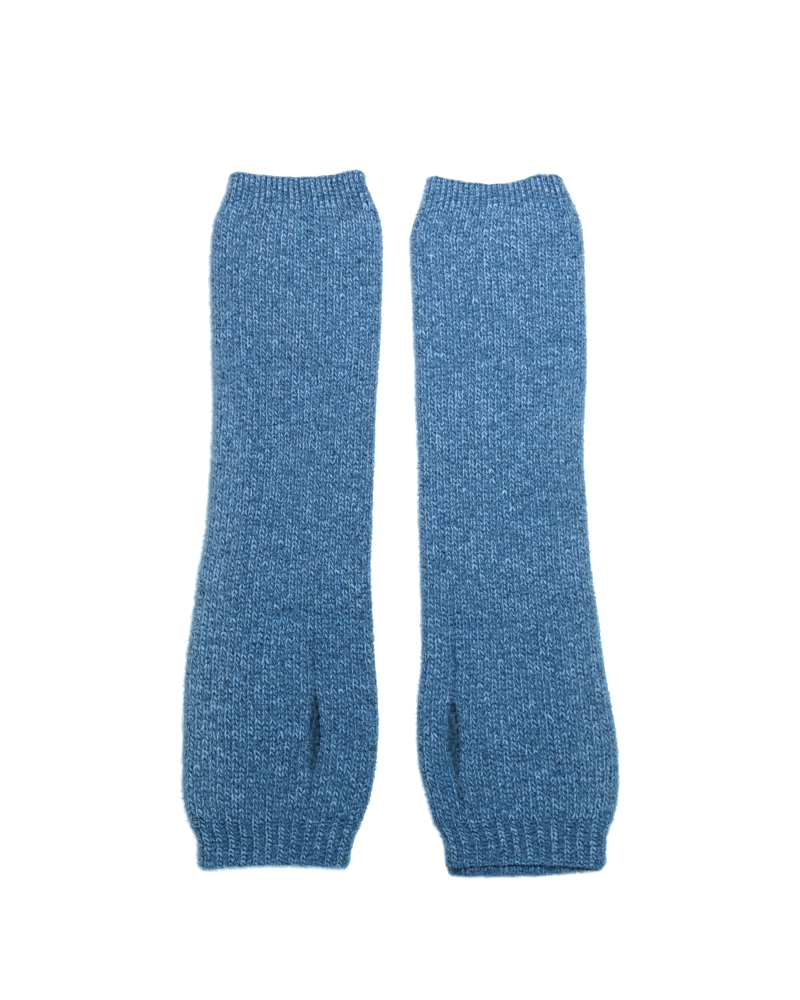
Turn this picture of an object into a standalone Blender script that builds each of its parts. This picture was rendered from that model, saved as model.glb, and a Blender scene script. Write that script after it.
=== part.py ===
"""A pair of knitted arm warmers, laid flat side by side with their thumb slits upwards.

Each warmer is three closed walls of knitting that follow one another along the arm:
a ribbed forearm cuff, a plain knitted tube with a thumb slit in its upper layer, and a
ribbed hand cuff. Every wall goes all round, so the upper layer lies on the under one.

The script works in metres with +Z up. The pair rests on Z = 0, +Y runs from the hands
to the forearms, and the origin is under the middle of the pair.
"""

import math
from collections import namedtuple

import bmesh
import bpy

MM = 0.001

# Thickness of the knitting
PLAIN_WALL = 2.2 * MM
RIB_WALL = 2.8 * MM
RIB_DEPTH = 1.0 * MM
HEM_ROUNDING = 0.7 * MM

# How the layers lie on each other
FOLD_EASE = 13.0 * MM
KNIT_CHANGE_GAP = 0.3 * MM

# Places along the arm where the stitch changes
HAND_RIB_TOP = -148.0 * MM
FOREARM_RIB_BOTTOM = 157.0 * MM

# Ribs on the upper face and round each side fold; the underside rests flat
TOP_RIBS = 12
FOLD_RIBS = 2
UNDER_COLUMNS = 8
RIB_STATIONS = 4
HEM_STATION_BACK = 1.6 * MM

# Facets of the plain tube
TOP_COLUMNS = 16
FOLD_COLUMNS = 5
TUBE_UNDER_COLUMNS = 4
CREASE_SIDE_STEP = 7.0 * MM

# Shape of the thumb slit
SLIT_HALF_WIDTH = 2.8 * MM
SLIT_FADE = 11.0 * MM
SLIT_SHARES = (0.0, 0.1, 0.3, 0.5, 0.7, 0.9, 1.0)

# One row for each cross-section, in millimetres: its place along the arm, its two side
# edges, and the height of the upper face in the middle and at the side folds
Section = namedtuple("Section", "along left right middle fold")

LEFT_SECTIONS = (
    Section(-177.0, -101.3, -26.6, 6.4, 7.4),
    Section(-164.0, -101.5, -24.5, 6.3, 7.3),
    Section(-158.0, -102.2, -22.8, 6.2, 7.2),
    Section(-150.0, -105.6, -19.6, 6.0, 7.1),
    Section(-138.0, -108.5, -15.5, 5.7, 7.0),
    Section(-124.0, -109.0, -12.8, 5.8, 7.1),
    Section(-106.0, -108.8, -11.2, 6.0, 7.2),
    Section(-86.0, -108.4, -11.6, 5.8, 7.0),
    Section(-66.0, -106.8, -13.1, 5.5, 6.9),
    Section(-46.0, -103.8, -14.1, 5.5, 6.9),
    Section(-26.0, -101.2, -15.0, 5.7, 7.1),
    Section(-6.0, -97.8, -14.5, 5.8, 7.1),
    Section(26.0, -95.2, -13.3, 5.6, 6.9),
    Section(56.0, -94.0, -12.3, 5.5, 6.8),
    Section(92.0, -94.6, -10.0, 5.8, 7.0),
    Section(124.0, -95.3, -9.2, 5.7, 7.0),
    Section(142.0, -94.5, -9.0, 5.8, 7.0),
    Section(152.0, -92.4, -10.6, 6.0, 7.1),
    Section(161.0, -88.6, -13.9, 6.2, 7.2),
    Section(168.0, -86.5, -17.0, 6.3, 7.3),
    Section(178.0, -84.8, -18.2, 6.4, 7.4),
)

RIGHT_SECTIONS = (
    Section(-178.0, 22.8, 102.3, 6.9, 7.6),
    Section(-164.0, 22.0, 103.0, 6.5, 7.4),
    Section(-157.0, 20.2, 103.5, 6.2, 7.2),
    Section(-150.0, 16.8, 105.6, 6.0, 7.1),
    Section(-138.0, 13.6, 108.3, 5.7, 7.0),
    Section(-124.0, 9.9, 109.0, 5.7, 7.0),
    Section(-108.0, 8.4, 107.9, 5.9, 7.1),
    Section(-92.0, 8.4, 105.4, 5.8, 7.1),
    Section(-70.0, 10.4, 101.6, 5.5, 6.9),
    Section(-46.0, 10.4, 98.6, 5.6, 6.9),
    Section(-22.0, 9.8, 95.2, 5.7, 7.0),
    Section(8.0, 9.1, 93.0, 5.7, 7.0),
    Section(34.0, 8.8, 91.4, 5.5, 6.8),
    Section(56.0, 7.9, 91.9, 5.6, 6.9),
    Section(76.0, 7.4, 93.0, 5.8, 7.1),
    Section(112.0, 6.0, 92.4, 5.7, 7.0),
    Section(141.0, 5.0, 91.4, 5.8, 7.0),
    Section(151.0, 7.3, 89.7, 6.0, 7.1),
    Section(161.0, 11.1, 85.4, 6.2, 7.2),
    Section(168.0, 12.9, 81.6, 6.3, 7.3),
    Section(177.0, 14.2, 80.0, 6.4, 7.4),
)

# The hem's place along the arm, in millimetres, at the left side, middle and right side
Hem = namedtuple("Hem", "left middle right")

# Soft troughs where the upper layer has been folded, in millimetres: the middle of each,
# its length across the arm, its width along the arm and its depth
Crease = namedtuple("Crease", "across along length width depth")

# The slit's two ends, in millimetres along the arm, and its place across the upper face
# as a share of the way from the left fold to the right one
Slit = namedtuple("Slit", "bottom top share")

Warmer = namedtuple("Warmer", "name sections slit creases forearm_hem hand_hem hand_hem_under")

WARMERS = (
    Warmer(
        name="left",
        sections=LEFT_SECTIONS,
        slit=Slit(-126.5, -85.0, 0.685),
        creases=(
            Crease(-60.0, 82.0, 66.0, 7.0, 0.6),
            Crease(-47.0, -50.0, 60.0, 7.0, 0.7),
        ),
        forearm_hem=Hem(175.2, 172.5, 176.4),
        hand_hem=Hem(-174.2, -171.6, -173.6),
        hand_hem_under=Hem(-174.2, -171.6, -173.6),
    ),
    Warmer(
        name="right",
        sections=RIGHT_SECTIONS,
        slit=Slit(-127.5, -88.0, 0.160),
        creases=(
            Crease(72.0, 59.0, 44.0, 7.0, 0.7),
            Crease(24.0, -53.0, 36.0, 7.0, 0.6),
        ),
        forearm_hem=Hem(172.6, 169.0, 175.2),
        hand_hem=Hem(-173.0, -171.2, -173.6),
        hand_hem_under=Hem(-176.4, -176.6, -173.9),
    ),
)

# A column runs the length of a wall: which stretch of the loop it is on, how far along
# that stretch, and how deep its outer face lies below the crest of a rib
Column = namedtuple("Column", "stretch share drop")

Finish = namedtuple("Finish", "colour roughness")
RIB_FINISH = Finish((0.075, 0.165, 0.285, 1.0), 0.95)
PLAIN_FINISH = Finish((0.085, 0.19, 0.32, 1.0), 0.95)


def clear_scene():
    """Remove what the scene starts with."""
    for thing in list(bpy.data.objects):
        bpy.data.objects.remove(thing, do_unlink=True)


def ease(value):
    """A smooth step from 0 to 1."""
    held = min(1.0, max(0.0, value))
    return held * held * (3.0 - 2.0 * held)


def read_sections(sections, along):
    """The cross-section at one place along the arm, on smooth curves through the rows."""
    place = along / MM
    last = len(sections) - 2
    row = 0
    while row < last and place > sections[row + 1].along:
        row += 1
    before = sections[max(row - 1, 0)]
    start = sections[row]
    end = sections[row + 1]
    after = sections[min(row + 2, len(sections) - 1)]
    step = end.along - start.along
    share = (place - start.along) / step
    values = []
    for a, b, c, d in zip(before, start, end, after):
        slope_start = (c - a) / (end.along - before.along) * step
        slope_end = (d - b) / (after.along - start.along) * step
        curve = (
            b
            + slope_start * share
            + (3.0 * (c - b) - 2.0 * slope_start - slope_end) * share**2
            + (2.0 * (b - c) + slope_start + slope_end) * share**3
        )
        values.append(curve * MM)
    return Section(*values)


def hem_place(hem, share):
    """The hem's place along the arm at a share of the way from its left to its right."""
    rise = (hem.left + hem.right) / 2.0 - hem.middle
    straight = hem.left + (hem.right - hem.left) * share
    return (straight - 4.0 * rise * share * (1.0 - share)) * MM


def crease_depth(creases, across, along):
    """How far the soft troughs lower the upper layer at one point."""
    depth = 0.0
    for crease in creases:
        sideways = (across / MM - crease.across) / (crease.length / 2.0)
        lengthways = (along / MM - crease.along) / (crease.width / 2.0)
        depth += crease.depth * MM * math.exp(-(sideways**4) - lengthways**2)
    return depth


def loop_point(warmer, section, column, inward):
    """A point of one cross-section, a given depth inside the loop's outer line."""
    radius = section.fold / 2.0
    left_turn = section.left + radius
    right_turn = section.right - radius
    width = right_turn - left_turn
    if column.stretch == "top":
        across = left_turn + width * column.share
        reach = min(across - left_turn, right_turn - across)
        height = section.fold + (section.middle - section.fold) * ease(reach / FOLD_EASE)
        height -= crease_depth(warmer.creases, across, section.along)
        return across, height - inward
    if column.stretch == "under":
        return right_turn - width * column.share, inward
    middle = right_turn
    angle = math.pi * (0.5 - column.share)
    if column.stretch == "left":
        middle = left_turn
        angle -= math.pi
    arm = radius - inward
    return middle + arm * math.cos(angle), radius + arm * math.sin(angle)


def plain_columns(slit):
    """Columns of the plain tube, in order round the loop from the slit."""
    after_slit = max(2, round(TOP_COLUMNS * (1.0 - slit.share)))
    before_slit = TOP_COLUMNS - after_slit
    columns = []
    for step in range(after_slit):
        columns.append(Column("top", slit.share + (1.0 - slit.share) * step / after_slit, 0.0))
    for step in range(FOLD_COLUMNS):
        columns.append(Column("right", step / FOLD_COLUMNS, 0.0))
    for step in range(TUBE_UNDER_COLUMNS):
        columns.append(Column("under", step / TUBE_UNDER_COLUMNS, 0.0))
    for step in range(FOLD_COLUMNS):
        columns.append(Column("left", step / FOLD_COLUMNS, 0.0))
    for step in range(before_slit + 1):
        columns.append(Column("top", slit.share * step / before_slit, 0.0))
    return columns


def rib_columns():
    """Columns of a ribbed cuff: a furrow and two crest edges for each rib."""
    profile = ((0.0, RIB_DEPTH), (0.3, 0.0), (0.72, 0.0))
    columns = []
    for stretch, count in (("top", TOP_RIBS), ("right", FOLD_RIBS)):
        for rib in range(count):
            for offset, drop in profile:
                columns.append(Column(stretch, (rib + offset) / count, drop))
    for step in range(UNDER_COLUMNS):
        columns.append(Column("under", step / UNDER_COLUMNS, 0.0))
    for rib in range(FOLD_RIBS):
        for offset, drop in profile:
            columns.append(Column("left", (rib + offset) / FOLD_RIBS, drop))
    columns.append(columns[0])
    return columns


def slit_opening(slit, along):
    """Half the slit's width at one place along the arm, zero beyond its ends."""
    share = (along / MM - slit.bottom) / (slit.top - slit.bottom)
    if share <= 0.0 or share >= 1.0:
        return 0.0
    return SLIT_HALF_WIDTH * math.sin(math.pi * share) ** 0.7


def tube_stations(warmer):
    """Places along the tube: its section rows, the slit's steps and both sides of folds."""
    slit = warmer.slit
    places = [slit.bottom + (slit.top - slit.bottom) * share for share in SLIT_SHARES]
    for crease in warmer.creases:
        side = CREASE_SIDE_STEP / MM
        places += [crease.along - side, crease.along, crease.along + side]
    first = (HAND_RIB_TOP + KNIT_CHANGE_GAP / 2.0) / MM
    last = (FOREARM_RIB_BOTTOM - KNIT_CHANGE_GAP / 2.0) / MM
    clear = 4.0
    for section in warmer.sections:
        apart = min(abs(section.along - place) for place in places)
        inside_slit = slit.bottom < section.along < slit.top
        if first + clear < section.along < last - clear and apart > clear and not inside_slit:
            places.append(section.along)
    return [place * MM for place in sorted(places + [first, last])]


def tube_point(warmer, columns, index, along, inward):
    """A point of the plain tube, moved aside where the slit's lips are parted."""
    section = read_sections(warmer.sections, along)._replace(along=along)
    column = columns[index]
    across, height = loop_point(warmer, section, column, inward)
    opening = slit_opening(warmer.slit, along)
    if opening > 0.0 and column.stretch == "top":
        lip, _ = loop_point(warmer, section, columns[0], inward)
        away = abs(across - lip)
        side = -1.0 if index > len(columns) // 2 else 1.0
        across += side * opening * max(0.0, 1.0 - away / SLIT_FADE) ** 2
    return across, along, height


def cuff_point(warmer, column, start, hems, share, inward):
    """A point of a ribbed cuff, a share of the way from the knit change to the hem."""
    upper_hem, under_hem = hems
    middle_of_hem = (upper_hem.middle + under_hem.middle) / 2.0 * MM
    along = start + (middle_of_hem - start) * share
    section = read_sections(warmer.sections, along)._replace(along=along)
    across, height = loop_point(warmer, section, column, inward)
    side_share = min(1.0, max(0.0, (across - section.left) / (section.right - section.left)))
    upper = hem_place(upper_hem, side_share)
    under = hem_place(under_hem, side_share)
    hem = under + (upper - under) * ease(height / section.fold)
    return across, start + (hem - start) * share, height


def add_skin(mesh, columns, stations, place):
    """A grid of points over the columns and stations, put in place by a function."""
    rows = [[] for _ in range(stations)]
    for station in range(stations):
        for column in range(columns):
            rows[station].append(mesh.verts.new(place(column, station)))
    for station in range(stations - 1):
        for column in range(columns - 1):
            corners = (
                rows[station][column],
                rows[station][column + 1],
                rows[station + 1][column + 1],
                rows[station + 1][column],
            )
            mesh.faces.new(corners)
    return rows


def join_edges(mesh, outer, inner):
    """Close the wall's thickness between two matching lines of points."""
    for step in range(len(outer) - 1):
        corners = (outer[step], outer[step + 1], inner[step + 1], inner[step])
        mesh.faces.new(corners)


def make_finish(name, finish):
    """The Principled material of one sub-part."""
    material = bpy.data.materials.new(name)
    material.use_nodes = True
    shader = material.node_tree.nodes["Principled BSDF"]
    shader.inputs["Base Color"].default_value = finish.colour
    shader.inputs["Roughness"].default_value = finish.roughness
    shader.inputs["Metallic"].default_value = 0.0
    return material


def finish_wall(mesh, name, finish):
    """Merge the wall's seams, turn its faces outwards and make its object."""
    merge_distance = 0.01 * MM
    bmesh.ops.remove_doubles(mesh, verts=mesh.verts, dist=merge_distance)
    bmesh.ops.recalc_face_normals(mesh, faces=mesh.faces)
    data = bpy.data.meshes.new(name)
    mesh.to_mesh(data)
    mesh.free()
    data.shade_smooth()
    data.set_sharp_from_angle(angle=math.radians(50.0))
    data.materials.append(make_finish(name + "_knit", finish))
    wall = bpy.data.objects.new(name, data)
    bpy.context.scene.collection.objects.link(wall)
    return wall


def make_tube(warmer):
    """The plain knitted tube, with its thumb slit cut through the upper layer."""
    columns = plain_columns(warmer.slit)
    stations = tube_stations(warmer)
    mesh = bmesh.new()
    skins = []
    for inward in (0.0, PLAIN_WALL):

        def place(column, station, inward=inward):
            return tube_point(warmer, columns, column, stations[station], inward)

        skins.append(add_skin(mesh, len(columns), len(stations), place))
    outer, inner = skins
    join_edges(mesh, outer[0], inner[0])
    join_edges(mesh, outer[-1], inner[-1])
    ends = (warmer.slit.bottom * MM, warmer.slit.top * MM)
    parted = [i for i, along in enumerate(stations) if ends[0] <= along <= ends[1]]
    for lip in (0, -1):
        outer_lip = [outer[station][lip] for station in parted]
        inner_lip = [inner[station][lip] for station in parted]
        join_edges(mesh, outer_lip, inner_lip)
    return finish_wall(mesh, warmer.name + "_tube", PLAIN_FINISH)


def make_cuff(warmer, part, start, hems):
    """A ribbed cuff from the knit change to its bowed hem, with a rounded rim."""
    columns = rib_columns()
    direction = math.copysign(1.0, hems[0].middle)
    length = abs(hems[0].middle * MM - start)
    rim_share = 1.0 - HEM_STATION_BACK / length
    shares = [rim_share * step / RIB_STATIONS for step in range(RIB_STATIONS + 1)] + [1.0]
    edge = start + direction * KNIT_CHANGE_GAP / 2.0
    mesh = bmesh.new()
    skins = []
    for inside in (False, True):

        def place(column, station, inside=inside):
            share = shares[station]
            rounding = HEM_ROUNDING if share == 1.0 else 0.0
            inward = RIB_WALL - rounding if inside else columns[column].drop + rounding
            if columns[column].stretch == "under" and not inside:
                inward = 0.0
            return cuff_point(warmer, columns[column], edge, hems, share, inward)

        skins.append(add_skin(mesh, len(columns), len(shares), place))
    outer, inner = skins
    join_edges(mesh, outer[0], inner[0])
    join_edges(mesh, outer[-1], inner[-1])
    return finish_wall(mesh, warmer.name + "_" + part, RIB_FINISH)


def make_pair():
    """Both warmers, each from its forearm cuff down to its hand cuff."""
    for warmer in WARMERS:
        forearm_hems = (warmer.forearm_hem, warmer.forearm_hem)
        hand_hems = (warmer.hand_hem, warmer.hand_hem_under)
        make_cuff(warmer, "forearm_cuff", FOREARM_RIB_BOTTOM, forearm_hems)
        make_tube(warmer)
        make_cuff(warmer, "hand_cuff", HAND_RIB_TOP, hand_hems)


clear_scene()
make_pair()
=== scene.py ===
"""Looks of the pair of knitted arm warmers, as a Blender add-on run as a script.

Each warmer gets a backing cloth all round its tube and cuffs, a real stitch for every
loop of its knitting, rolled cast-on and bind-off edges, a bound thumb slit, and the
soft halo of loose fibres that brushing raises on wool. Some light and shade is painted
into the colours of the wool and its fibres.

Metres, +Z up, in the frame of the CAD model. The knitting is laid out flat first, in
wales across and courses along, and is then wrapped round the warmer's own form.
"""

import math
from collections import namedtuple

import bmesh
import bpy
import numpy as np
from mathutils import Matrix, Vector


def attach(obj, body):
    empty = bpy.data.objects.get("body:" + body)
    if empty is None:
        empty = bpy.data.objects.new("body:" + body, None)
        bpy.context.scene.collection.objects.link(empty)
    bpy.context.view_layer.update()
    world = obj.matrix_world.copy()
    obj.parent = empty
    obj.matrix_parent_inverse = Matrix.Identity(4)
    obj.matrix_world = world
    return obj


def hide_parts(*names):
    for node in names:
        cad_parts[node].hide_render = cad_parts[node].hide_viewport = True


bl_info = {
    "name": "Knitted arm warmers",
    "version": (1, 0, 0),
    "blender": (4, 5, 0),
    "location": "3D View > Sidebar > Knitting",
    "description": "Builds the stitches, edges and wool halo of a pair of arm warmers",
    "category": "Object",
}

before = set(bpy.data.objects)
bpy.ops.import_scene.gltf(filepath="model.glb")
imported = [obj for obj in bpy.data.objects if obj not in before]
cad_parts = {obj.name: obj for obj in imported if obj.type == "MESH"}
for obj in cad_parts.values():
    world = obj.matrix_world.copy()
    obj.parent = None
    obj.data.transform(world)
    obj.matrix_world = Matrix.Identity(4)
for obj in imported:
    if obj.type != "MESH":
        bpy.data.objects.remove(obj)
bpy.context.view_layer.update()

MM = 0.001
BODY = "root"

# Form of the warmers, the same as in the CAD model

FOLD_EASE = 13.0 * MM
HAND_RIB_TOP = -148.0 * MM
FOREARM_RIB_BOTTOM = 157.0 * MM
SLIT_HALF_WIDTH = 2.8 * MM
SLIT_FADE = 11.0 * MM

# How ragged the slit's lips are: shares of its width and turns in radians a metre
SLIT_RAGS = (0.10, 820.0), (0.07, 2150.0)

# One row for each cross-section, in millimetres: its place along the arm, its two side
# edges, and the height of the upper face in the middle and at the side folds
Section = namedtuple("Section", "along left right middle fold")

LEFT_SECTIONS = (
    Section(-177.0, -101.3, -26.4, 6.4, 7.4),
    Section(-164.0, -101.5, -24.2, 6.3, 7.3),
    Section(-158.0, -102.2, -22.6, 6.2, 7.2),
    Section(-150.0, -105.6, -19.4, 6.0, 7.1),
    Section(-138.0, -108.5, -15.2, 5.7, 7.0),
    Section(-124.0, -109.0, -12.6, 5.8, 7.1),
    Section(-106.0, -108.8, -10.9, 6.0, 7.2),
    Section(-86.0, -108.4, -11.3, 5.8, 7.0),
    Section(-66.0, -106.8, -12.8, 5.5, 6.9),
    Section(-46.0, -103.8, -13.8, 5.5, 6.9),
    Section(-26.0, -101.2, -14.8, 5.7, 7.1),
    Section(-6.0, -97.8, -14.2, 5.8, 7.1),
    Section(26.0, -95.2, -13.1, 5.6, 6.9),
    Section(56.0, -94.0, -12.1, 5.5, 6.8),
    Section(92.0, -94.6, -9.8, 5.8, 7.0),
    Section(124.0, -95.3, -8.9, 5.7, 7.0),
    Section(142.0, -94.5, -8.8, 5.8, 7.0),
    Section(152.0, -92.4, -10.3, 6.0, 7.1),
    Section(161.0, -88.6, -13.7, 6.2, 7.2),
    Section(168.0, -86.5, -16.8, 6.3, 7.3),
    Section(178.0, -84.8, -17.9, 6.4, 7.4),
)

RIGHT_SECTIONS = (
    Section(-178.0, 22.1, 102.1, 6.9, 7.6),
    Section(-164.0, 21.4, 102.8, 6.5, 7.4),
    Section(-157.0, 19.6, 103.3, 6.2, 7.2),
    Section(-150.0, 16.1, 105.4, 6.0, 7.1),
    Section(-138.0, 12.9, 108.1, 5.7, 7.0),
    Section(-124.0, 9.2, 108.8, 5.7, 7.0),
    Section(-108.0, 7.8, 107.7, 5.9, 7.1),
    Section(-92.0, 7.8, 105.2, 5.8, 7.1),
    Section(-70.0, 9.8, 101.4, 5.5, 6.9),
    Section(-46.0, 9.8, 98.4, 5.6, 6.9),
    Section(-22.0, 9.2, 95.0, 5.7, 7.0),
    Section(8.0, 8.4, 92.8, 5.7, 7.0),
    Section(34.0, 8.2, 91.2, 5.5, 6.8),
    Section(56.0, 7.2, 91.7, 5.6, 6.9),
    Section(76.0, 6.8, 92.8, 5.8, 7.1),
    Section(112.0, 5.3, 92.2, 5.7, 7.0),
    Section(141.0, 4.3, 91.2, 5.8, 7.0),
    Section(151.0, 6.7, 89.5, 6.0, 7.1),
    Section(161.0, 10.4, 85.2, 6.2, 7.2),
    Section(168.0, 12.2, 81.4, 6.3, 7.3),
    Section(177.0, 13.6, 79.8, 6.4, 7.4),
)

# The hem's place along the arm, in millimetres, at the left side, middle and right side,
# with a hump that rises at a share of the way across
Hem = namedtuple("Hem", "left middle right hump_share hump_rise", defaults=(0.5, 0.0))

# Soft marks, in millimetres: the middle of each, its length, its width, its strength and
# how far it is turned from lying straight across, in degrees. A crease's strength is the
# depth of its trough in the upper layer. A mark of painted light's strength is how much
# paler the wool is painted where light falls; a negative one is painted shade, darker in
# the creases, beside the slit and under the hand hem's upper layer
Mark = namedtuple("Mark", "across along length width strength turn")

# The slit's two ends, in millimetres along the arm, and its place across the upper face
# as a share of the way from the left fold to the right one
Slit = namedtuple("Slit", "bottom top share")

Warmer = namedtuple(
    "Warmer", "name sections slit creases nap forearm_hem hand_hem hand_hem_under"
)

WARMERS = (
    Warmer(
        name="left",
        sections=LEFT_SECTIONS,
        slit=Slit(-126.5, -85.0, 0.685),
        creases=(
            Mark(-67.0, 78.0, 56.0, 9.0, 1.2, -14.0),
            Mark(-45.0, -50.0, 64.0, 9.0, 1.3, -2.0),
            Mark(-79.0, -30.0, 190.0, 9.0, 0.5, 89.0),
            Mark(-68.0, -125.0, 36.0, 8.0, 0.8, 18.0),
            Mark(-33.0, 118.0, 34.0, 7.0, 0.3, 64.0),
        ),
        # Painted light and shade: paler along the outer flank and on the cuffs, where light
        # falls, and darker along the creases and beside the slit
        nap=(
            Mark(-100.0, -52.0, 244.0, 36.0, 0.80, 90.0),
            Mark(-72.0, -60.0, 190.0, 12.0, -0.12, 90.0),
            Mark(-67.0, 77.0, 60.0, 16.0, -0.26, -14.0),
            Mark(-45.0, -50.0, 70.0, 16.0, -0.34, -2.0),
            Mark(-32.0, -92.0, 84.0, 34.0, -0.26, 90.0),
            Mark(-63.0, -161.0, 90.0, 26.0, 0.30, 0.0),
            Mark(-63.0, -171.0, 90.0, 10.0, 0.30, 0.0),
            Mark(-51.0, 166.0, 80.0, 20.0, 0.10, 0.0),
        ),
        forearm_hem=Hem(176.0, 172.4, 175.8, 0.90, 1.2),
        hand_hem=Hem(-174.2, -171.6, -173.6),
        hand_hem_under=Hem(-174.2, -171.6, -173.6),
    ),
    Warmer(
        name="right",
        sections=RIGHT_SECTIONS,
        slit=Slit(-127.5, -88.0, 0.160),
        creases=(
            Mark(66.0, 83.0, 54.0, 9.0, 1.1, 2.0),
            Mark(72.0, 59.0, 44.0, 7.0, 0.5, 6.0),
            Mark(33.0, -54.0, 50.0, 9.0, 1.2, -4.0),
            Mark(69.0, 138.0, 60.0, 6.0, 0.4, 90.0),
            Mark(74.0, 0.0, 46.0, 7.0, 0.3, 92.0),
            Mark(77.0, -124.0, 48.0, 8.0, 0.7, -8.0),
        ),
        # Painted light and shade: paler along the outer flank, in the middle of the tube and on
        # the cuffs, where light falls, darker along the creases and beside the slit, and a
        # painted shadow under the hand hem's upper layer
        nap=(
            Mark(101.0, -88.0, 190.0, 26.0, 0.60, 90.0),
            Mark(32.0, 24.0, 90.0, 44.0, 0.28, 90.0),
            Mark(50.0, 143.0, 30.0, 24.0, 0.30, 0.0),
            Mark(66.0, 158.0, 26.0, 12.0, -0.30, 0.0),
            Mark(66.0, 83.0, 58.0, 15.0, -0.26, 2.0),
            Mark(31.0, -54.0, 54.0, 16.0, -0.28, -4.0),
            Mark(20.0, -136.0, 56.0, 20.0, -0.20, 90.0),
            Mark(62.0, -161.0, 90.0, 24.0, 0.30, 0.0),
            Mark(48.0, 166.0, 80.0, 20.0, 0.20, 0.0),
            Mark(76.0, 168.0, 14.0, 10.0, 0.40, 0.0),
            Mark(52.0, -175.6, 74.0, 7.0, -1.15, 0.0),
        ),
        forearm_hem=Hem(174.4, 169.0, 173.6, 0.81, 3.4),
        hand_hem=Hem(-173.0, -171.2, -173.6),
        hand_hem_under=Hem(-176.4, -176.6, -173.9),
    ),
)

# How the knitting is counted

WALES = 54
TUBE_COURSES = 128
HAND_RIB_COURSES = 11.0
FOREARM_RIB_COURSES = 8.0
COURSE_RATIO = 0.81
RIB_FADE_COURSES = 1.6
HAND_END_FADE = 3.2
FOREARM_END_FADE = 1.6
FOREARM_END_LEFT = 0.1
HAND_RIB_SPREAD = 0.30
FOREARM_RIB_SPREAD = 0.06

# How the hems roll over, how many courses of the backing cloth run past them, how far
# the turned-in part sinks, and how the corners are rounded off

HEM_ROLL = 1.4 * MM
HEM_CURL = 0.11
HEM_FOLD_COURSES = 2
FOLD_SINK = 0.6 * MM
FOLD_SINK_REACH = 2.0 * MM
HEM_WAVE = 0.15 * MM
HEM_RIPPLES, HEM_SWELLS, SWELL_SHARE = 15.0, 5.0, 0.6
HAND_CLOTH_FOLD = 3.8
FOREARM_CLOTH_FOLD = 1.8
CORNER_REACH = 5.5 * MM
CORNER_DROP = 3.4 * MM
HUMP_SHARE = 0.13
ROLL_FADE_WALES = 2.0

# How uneven the knitting is: waves with a height in wales or courses, how fast they turn
# by course and by wale, in radians, and where they start
Wave = namedtuple("Wave", "height by_course by_wale start")

WANDER = (Wave(0.09, 0.085, 0.31, 0.7), Wave(0.05, 0.21, -0.47, 2.1))
LIFT = (Wave(0.14, 0.05, 0.23, 0.0), Wave(0.08, -0.11, 0.71, 0.0))
LIFT_FADE_COURSES = 4.0
RIB_STEADY = 0.6

# How each wale's stitches slip past their neighbours', in courses: how far, and over how
# many courses each slip turns by a radian
SLIP_QUICK = (0.14, 5.3)
SLIP_SLOW = (0.18, 14.0)
SLIP_STILL = 0.25

# The lengthways seam: its width and the reach within which it steadies the stitches, in
# wales, how faint it gets, how far stitches keep off it and the underside off the folds,
# and the stretch of the arm where it shows fully, with how it fades past each end
SEAM_WIDTH = 0.27
SEAM_STEADY = 3.0
SEAM_FAINT = 0.08
SEAM_GAP = 0.04
UNDER_MARGIN = 1.7
SEAM_TOP, SEAM_TOP_FADE = -40.0 * MM, 30.0 * MM
SEAM_BOTTOM, SEAM_BOTTOM_FADE = -147.0 * MM, 12.0 * MM

# A stitch: its nominal size, how its legs vary from each other, how they arch, how many
# rings of points they have, how flat they are underneath, and how many run past a slit
STITCH_WALE = 3.45 * MM
STITCH_COURSE = 2.4 * MM
UNEVEN_SIZE = 0.15
UNEVEN_TILT = 0.14
UNEVEN_WALE = 0.035
UNEVEN_COURSE = 0.07
UNEVEN_DEPTH = 0.10 * MM
CROWN_SHARE = 1.35
ARCH_FALL = 0.34 * MM
ARCH_TOP = 0.62
STITCH_RAISE = 0.18 * MM
LEAST_DEPTH = 0.02 * MM
# Painted shade: the share of the sinking into furrows and the seam that darkens the wool
SUNK_SHADE = 0.50
FINE_RINGS, COARSE_RINGS = 3, 2
UNDER_SQUASH = 0.7
LIP_BELOW, LIP_ABOVE = 1, 2


def length_setting(name, description, default):
    """A length that a user can change."""
    return bpy.props.FloatProperty(
        name=name, description=description, default=default, unit="LENGTH"
    )


def number_setting(name, description, default):
    """A plain number that a user can change."""
    return bpy.props.FloatProperty(name=name, description=description, default=default)


def count_setting(name, description, default):
    """A whole number that a user can change."""
    return bpy.props.IntProperty(name=name, description=description, default=default)


def colour_setting(name, description, default):
    """A colour that a user can change."""
    return bpy.props.FloatVectorProperty(
        name=name,
        description=description,
        subtype="COLOR",
        size=3,
        min=0.0,
        max=1.0,
        default=default,
    )


class KnitSizes(bpy.types.PropertyGroup):
    """Sizes of the yarn and of the knitting."""

    cloth_depth: length_setting(
        "Cloth depth", "Depth of the backing cloth below the crowns of the stitches", 1.15 * MM
    )
    cloth_thickness: length_setting(
        "Cloth thickness", "Thickness of the backing cloth", 0.65 * MM
    )
    hand_furrow: length_setting(
        "Hand furrow", "Depth of the furrows between the hand cuff's ribs", 0.85 * MM
    )
    forearm_furrow: length_setting(
        "Forearm furrow", "Depth of the furrows between the forearm cuff's ribs", 1.05 * MM
    )
    yarn_half_width: length_setting(
        "Yarn half width", "Half the width of one leg of a stitch", 0.37 * MM
    )
    yarn_half_height: length_setting(
        "Yarn half height", "Half the height of one leg of a stitch", 0.54 * MM
    )
    seam_depth: length_setting(
        "Seam depth", "How far the lengthways seam draws the knitting in", 1.30 * MM
    )
    fold_inset: length_setting(
        "Fold inset",
        "How far the folds' stitches keep inside the outline that the fuzz fills",
        0.25 * MM,
    )
    seed: count_setting("Seed", "Start of the random draws for uneven stitches and fibres", 11)


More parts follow.
